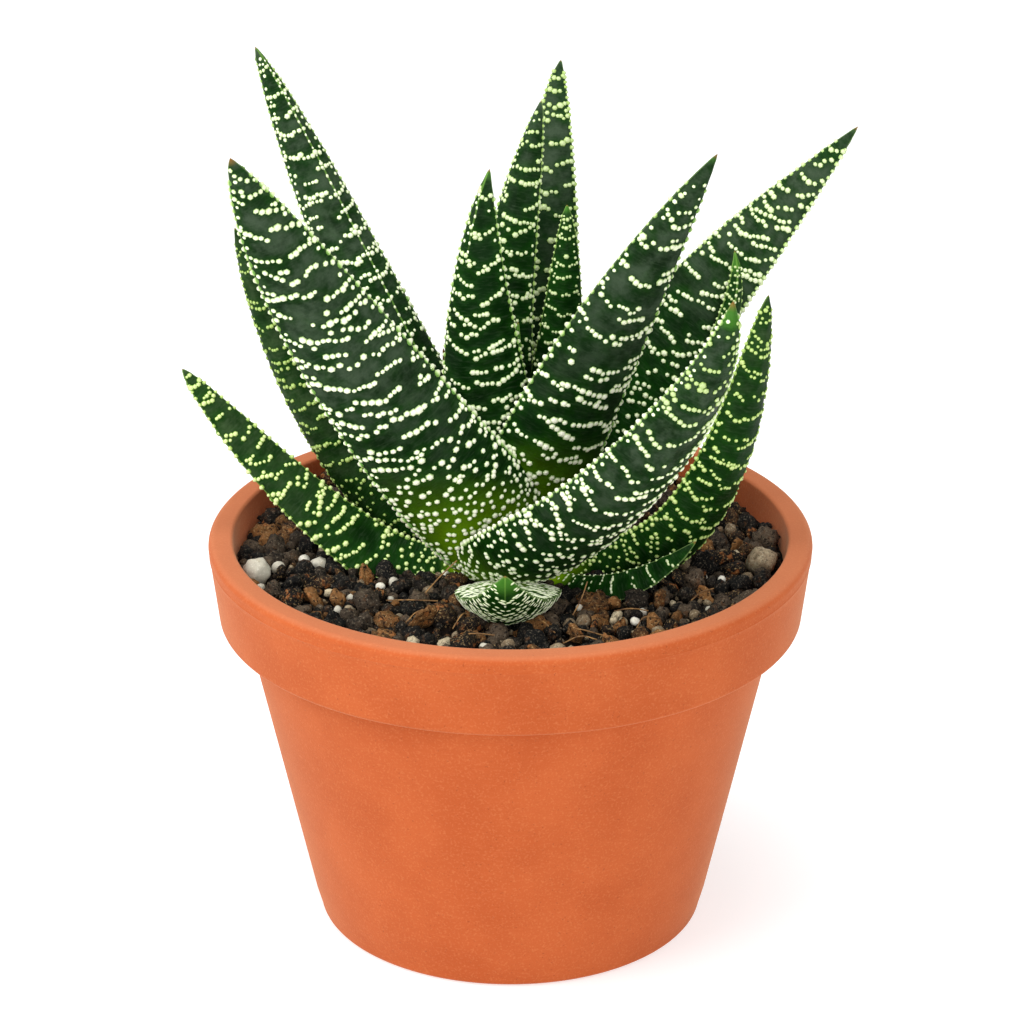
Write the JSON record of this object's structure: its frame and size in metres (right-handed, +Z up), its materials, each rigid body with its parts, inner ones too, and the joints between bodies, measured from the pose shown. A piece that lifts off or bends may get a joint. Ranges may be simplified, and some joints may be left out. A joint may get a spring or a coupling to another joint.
{
  "type": "potted gasteraloe",
  "caption": "Small warty-leaved succulent: a rosette of pointed, tapering leaves in gritty soil in a round clay pot with a thick collar.",
  "frame": {"origin": "centre of the pot's foot, on the ground", "axes": "+Z up; +Y away from the side the plant is usually looked at; +X to the right as seen from there"},
  "size_m": [0.1323, 0.12, 0.1735],
  "materials": {
    "terracotta": "matte fired clay, unglazed",
    "potting_mix": "rough grit and bark",
    "root_bark": "matte",
    "leaf_green": "satin, with pale warts",
    "leaf_yellow": "satin, with pale green warts",
    "leaf_young": "satin, with pale warts"
  },
  "bodies": {
    "root": {"pot": "terracotta", "soil": "potting_mix", "stem_and_roots": "root_bark", "leaf_bud": "leaf_young", "leaf_young_centre": "leaf_young", "leaf_young_right": "leaf_young", "leaf_dry_tip": "leaf_young", "leaf_centre_front": "leaf_green", "leaf_centre_middle": "leaf_green", "leaf_centre_tall": "leaf_green", "leaf_inner_right": "leaf_green", "leaf_far_right": "leaf_green", "leaf_tall_left": "leaf_green", "leaf_back_middle": "leaf_green", "leaf_back_left": "leaf_green", "leaf_back_right": "leaf_green", "leaf_front_left": "leaf_green", "leaf_front_right": "leaf_green", "leaf_short_front": "leaf_green", "leaf_short_right": "leaf_green", "leaf_outer_left": "leaf_yellow", "leaf_outer_right": "leaf_yellow", "leaf_low_left": "leaf_yellow"}
  },
  "joints": []
}
